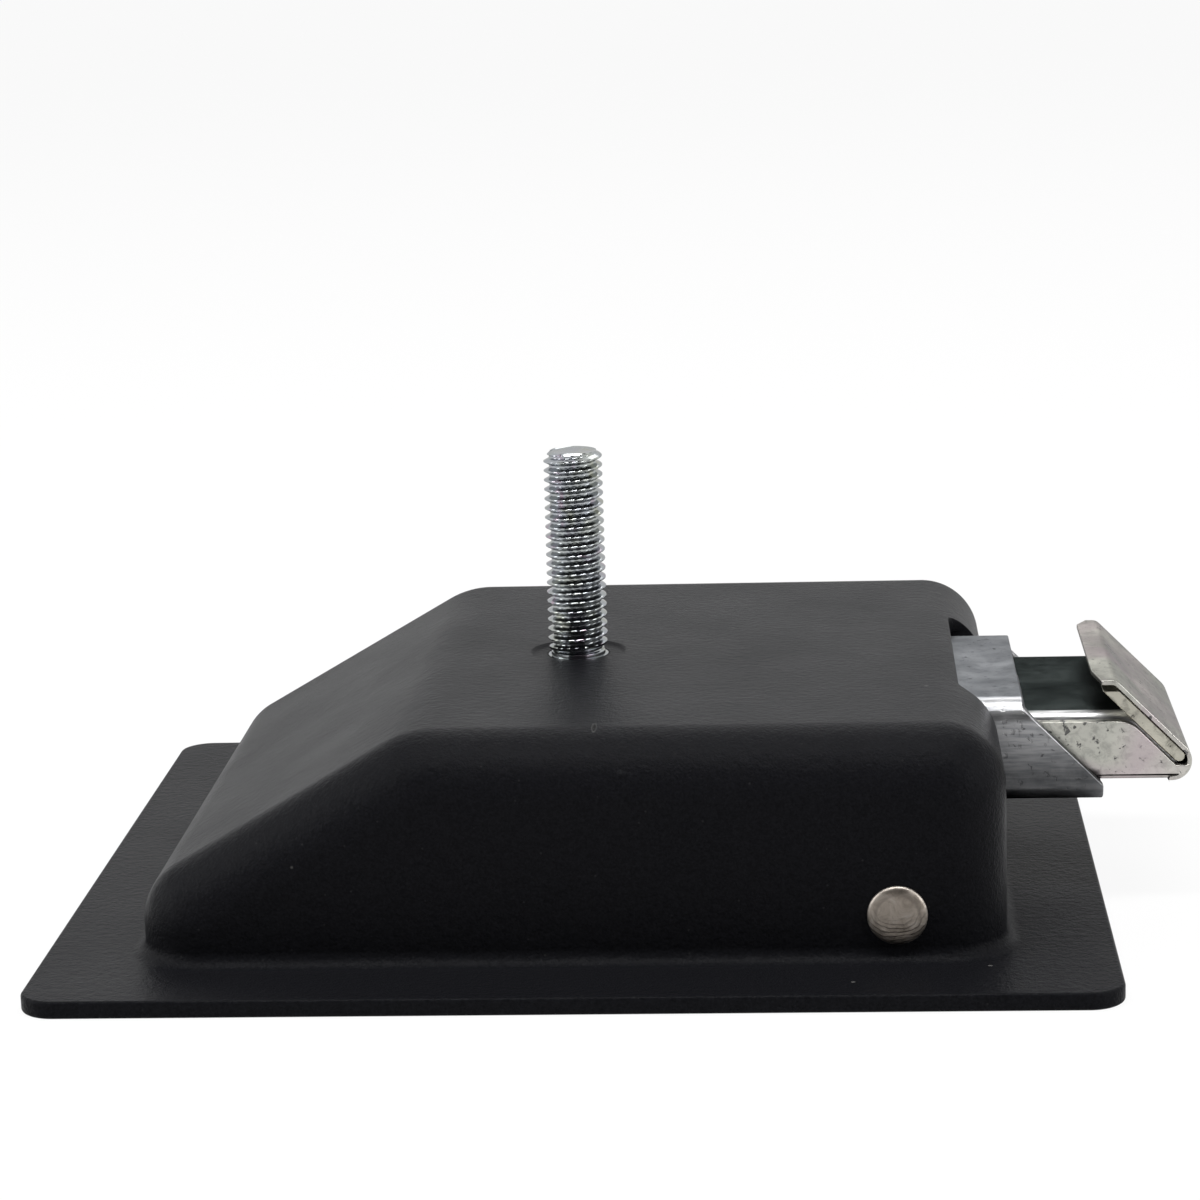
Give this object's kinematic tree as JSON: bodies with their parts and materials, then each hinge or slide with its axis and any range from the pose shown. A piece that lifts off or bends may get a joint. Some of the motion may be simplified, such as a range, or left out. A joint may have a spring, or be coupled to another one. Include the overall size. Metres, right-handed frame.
{
  "type": "flush paddle latch",
  "caption": "Flush paddle slam latch with a drawn pan, a recessed paddle and a spring bolt, shown face down with its mounting stud up.",
  "frame": {"origin": "root of the mounting stud, on its axis, level with the back face of the pan", "axes": "+Z along the stud away from the panel's front, +X towards the strike face of the bolt, +Y along the pivot pin"},
  "size_m": [0.1436, 0.121, 0.057],
  "materials": {
    "powder_coat": "satin",
    "zinc": "satin",
    "bright_zinc": "gloss",
    "raw_steel": "satin",
    "spring_steel": "satin"
  },
  "bodies": {
    "frame": {"pan": "powder_coat", "mounting_stud": "bright_zinc", "bolt_guide": "zinc", "spring_stop": "zinc", "bolt_spring": "spring_steel", "pivot_pin": "raw_steel", "long_spacer": "zinc", "inner_spacer": "zinc", "outer_spacer": "zinc", "paddle_spring": "spring_steel"},
    "bolt": {"bolt_shell": "zinc", "bolt_core": "zinc", "strike_doubler": "zinc", "bolt_spring_seat": "zinc", "drive_pin": "raw_steel"},
    "handle": {"paddle": "powder_coat", "paddle_lever": "zinc", "lever_rivets": "raw_steel"}
  },
  "joints": [
    {"name": "paddle_hinge", "type": "hinge", "parent": "frame", "child": "handle", "pos_m": [0.0409, 0, -0.022], "axis": [0, -1, 0], "range_deg": [0, 39.3], "stiffness_Nm_per_rad": 0.05, "springref_deg": -45.84, "deforming": ["paddle_spring"]},
    {"name": "bolt_slide", "type": "slide", "parent": "frame", "child": "bolt", "axis": [-1, 0, 0], "range_m": [0, 0.009], "stiffness_N_per_m": 400, "springref_m": -0.02, "deforming": ["bolt_spring"]}
  ],
  "couplings": [
    {"joint": "bolt_slide", "follows": "paddle_hinge", "m_per_rad": 0.01311}
  ]
}
